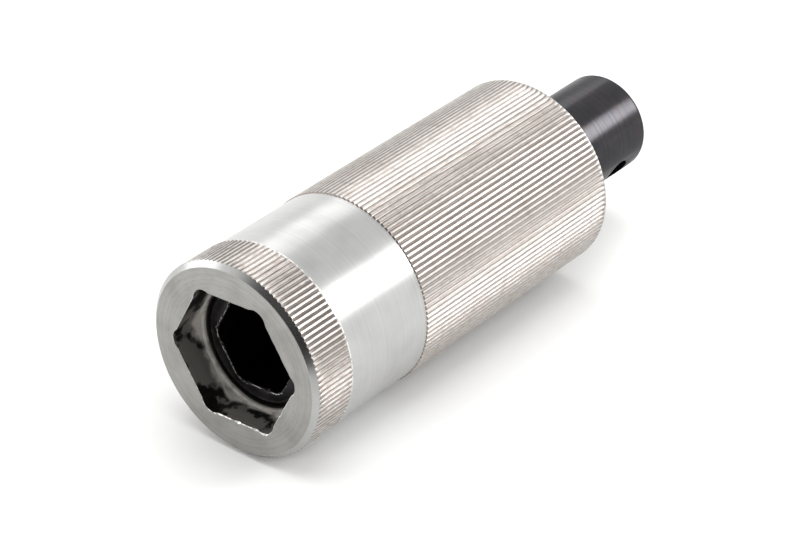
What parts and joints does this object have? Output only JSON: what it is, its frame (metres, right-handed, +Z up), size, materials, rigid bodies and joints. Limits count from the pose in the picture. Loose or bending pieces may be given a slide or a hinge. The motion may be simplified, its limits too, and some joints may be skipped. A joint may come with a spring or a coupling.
{
  "type": "socket adapter",
  "caption": "Hand-held socket adapter: a knurled sleeve with a hexagon mouth holds a bolt's collar while a sprung spindle inside it turns the bolt's head from a square drive.",
  "frame": {"origin": "middle of the sleeve's front face, on the tool's axis", "axes": "+X along the tool's axis from the hexagon mouth to the square drive end, +Z up as the tool lies on its side, +Y across"},
  "size_m": [0.1087, 0.0374, 0.0374],
  "materials": {
    "sleeve_steel": "turned and knurled bright steel",
    "bronze": "turned bearing bronze",
    "blackened_socket": "blackened steel, satin",
    "blackened_shaft": "blackened turned steel, satin",
    "pin_steel": "ground steel",
    "washer_steel": "stamped hardened steel",
    "spring_steel": "drawn spring wire",
    "ring_steel": "oiled black spring steel"
  },
  "bodies": {
    "sleeve": {"outer_sleeve": "sleeve_steel", "front_bush": "bronze", "front_thrust_ring": "bronze", "compression_spring": "spring_steel", "rear_spring_seat": "washer_steel", "rear_bush": "bronze", "retaining_ring": "ring_steel"},
    "spring_carrier": {"thrust_washer": "bronze", "front_spring_seat": "washer_steel"},
    "spindle": {"inner_socket": "blackened_socket", "drive_shaft": "blackened_shaft", "coupling_pin": "pin_steel"}
  },
  "joints": [
    {"name": "spindle_slide", "type": "slide", "parent": "sleeve", "child": "spring_carrier", "axis": [1, 0, 0], "range_m": [0, 0.006], "stiffness_N_per_m": 2000, "springref_m": -0.008, "deforming": ["compression_spring"]},
    {"name": "spindle_spin", "type": "hinge", "parent": "spring_carrier", "child": "spindle", "pos_m": [0.054, 0, 0], "axis": [1, 0, 0], "continuous": true}
  ]
}
